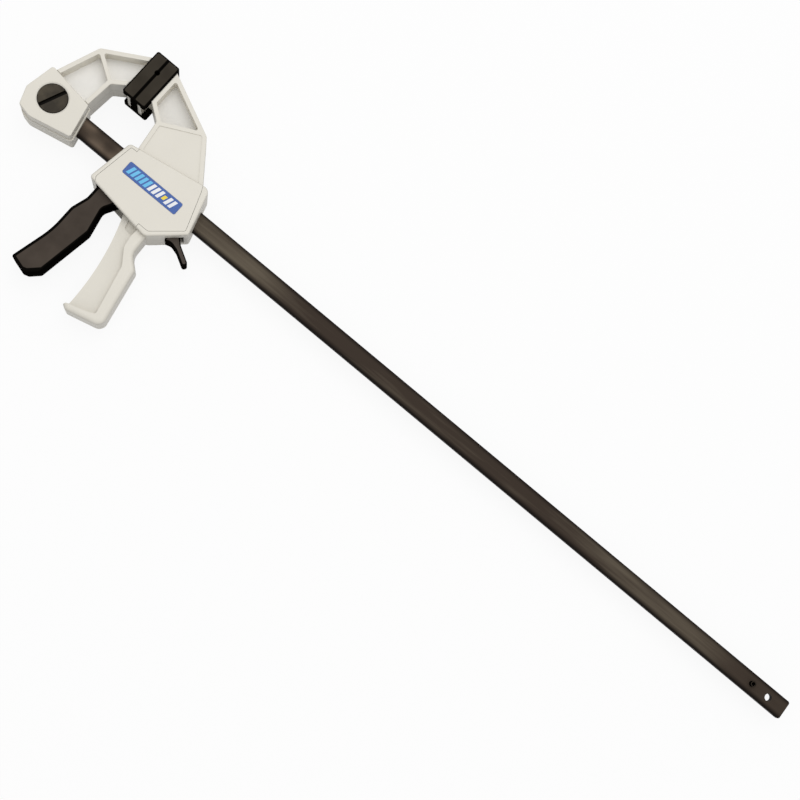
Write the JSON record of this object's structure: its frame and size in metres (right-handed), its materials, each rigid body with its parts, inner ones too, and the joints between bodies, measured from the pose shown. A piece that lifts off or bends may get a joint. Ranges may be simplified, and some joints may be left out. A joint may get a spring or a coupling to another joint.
{
  "type": "quick release bar clamp",
  "caption": "Squeeze-trigger bar clamp: a fixed jaw on a long flat steel bar, a sliding jaw with grip, trigger, release lever and soft pads.",
  "frame": {"origin": "on the bar's centre line, mid-thickness, in the plane where the two jaw pads meet when closed", "axes": "+X along the bar towards its free end, +Y out of the bar towards the jaw pads, +Z towards the front with the label and the slotted screw"},
  "size_m": [1.0257, 0.2674, 0.0423],
  "materials": {
    "jaw_plastic": "fine matt moulding, warm light grey",
    "blackened_steel": "blackened flat bar, low sheen",
    "dark_screw": "blackened, turned head",
    "bright_steel": "plain zinc-plated steel",
    "spring_steel": "drawn spring wire",
    "pad_rubber": "soft matt rubber",
    "dark_plastic": "dark matt moulding",
    "lever_plastic": "dark grey matt moulding",
    "label_face": "printed label, blue with plain bars"
  },
  "bodies": {
    "bar_and_fixed_jaw": {"bar": "blackened_steel", "stop_pin": "bright_steel", "fixed_jaw": "jaw_plastic", "head_front_cap": "jaw_plastic", "head_back_cap": "jaw_plastic", "lock_nut": "bright_steel", "fixed_jaw_pad": "pad_rubber"},
    "sliding_jaw": {"moving_jaw": "jaw_plastic", "front_cover": "jaw_plastic", "back_cover": "jaw_plastic", "cover_screws": "bright_steel", "label_plate": "label_face", "moving_jaw_pad": "pad_rubber", "trigger_pin": "bright_steel", "drive_spring": "spring_steel", "brake_spring": "spring_steel"},
    "trigger": {"trigger": "dark_plastic"},
    "drive_plates": {"drive_plate_front": "bright_steel", "drive_plate_rear": "bright_steel"},
    "release": {"brake_plate": "bright_steel", "release_lever": "lever_plastic"},
    "lock_screw": {"lock_screw": "dark_screw"}
  },
  "joints": [
    {"name": "jaw_slide", "type": "slide", "parent": "bar_and_fixed_jaw", "child": "sliding_jaw", "axis": [1, 0, 0], "range_m": [0, 0.757]},
    {"name": "trigger_squeeze", "type": "hinge", "parent": "sliding_jaw", "child": "trigger", "pos_m": [0.047, 0.0155, 0], "axis": [0, 0, 1], "range_deg": [0, 20], "stiffness_Nm_per_rad": 1, "springref_deg": -20.05},
    {"name": "drive_plate_slide", "type": "slide", "parent": "sliding_jaw", "child": "drive_plates", "axis": [1, 0, 0], "range_m": [0, 0.0112], "deforming": ["drive_spring"]},
    {"name": "release_turn", "type": "hinge", "parent": "sliding_jaw", "child": "release", "pos_m": [0.1155, 0.0175, 0], "axis": [0, 0, 1], "range_deg": [0, 3], "stiffness_Nm_per_rad": 0.6, "springref_deg": -8.59, "deforming": ["brake_spring"]},
    {"name": "lock_screw_turn", "type": "hinge", "parent": "bar_and_fixed_jaw", "child": "lock_screw", "pos_m": [-0.0604, 0, 0], "axis": [0, 0, 1], "range_deg": [0, 180]}
  ],
  "couplings": [
    {"joint": "drive_plate_slide", "follows": "trigger_squeeze", "m_per_rad": 0.0315}
  ]
}
